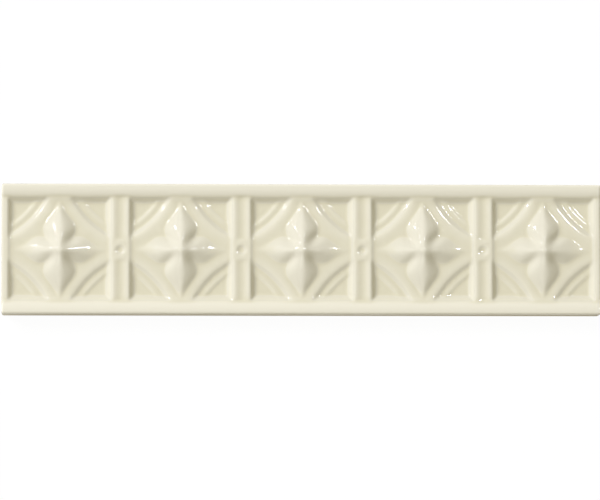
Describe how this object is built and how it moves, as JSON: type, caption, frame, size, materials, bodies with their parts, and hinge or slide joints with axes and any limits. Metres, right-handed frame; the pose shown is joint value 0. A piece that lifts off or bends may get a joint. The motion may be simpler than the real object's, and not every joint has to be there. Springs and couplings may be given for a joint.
{
  "type": "relief border wall tile",
  "caption": "Cream glazed ceramic border tile with plain rails and a row of sunk square panels, each holding a raised four-petalled star between curved ribs.",
  "frame": {"origin": "middle of the flat back face", "axes": "+X along the tile's length, +Y across its width, +Z out of the glazed face"},
  "size_m": [0.2, 0.0434, 0.0119],
  "materials": {
    "glaze": "gloss"
  },
  "bodies": {
    "root": {"relief_tile": "glaze"}
  },
  "joints": []
}
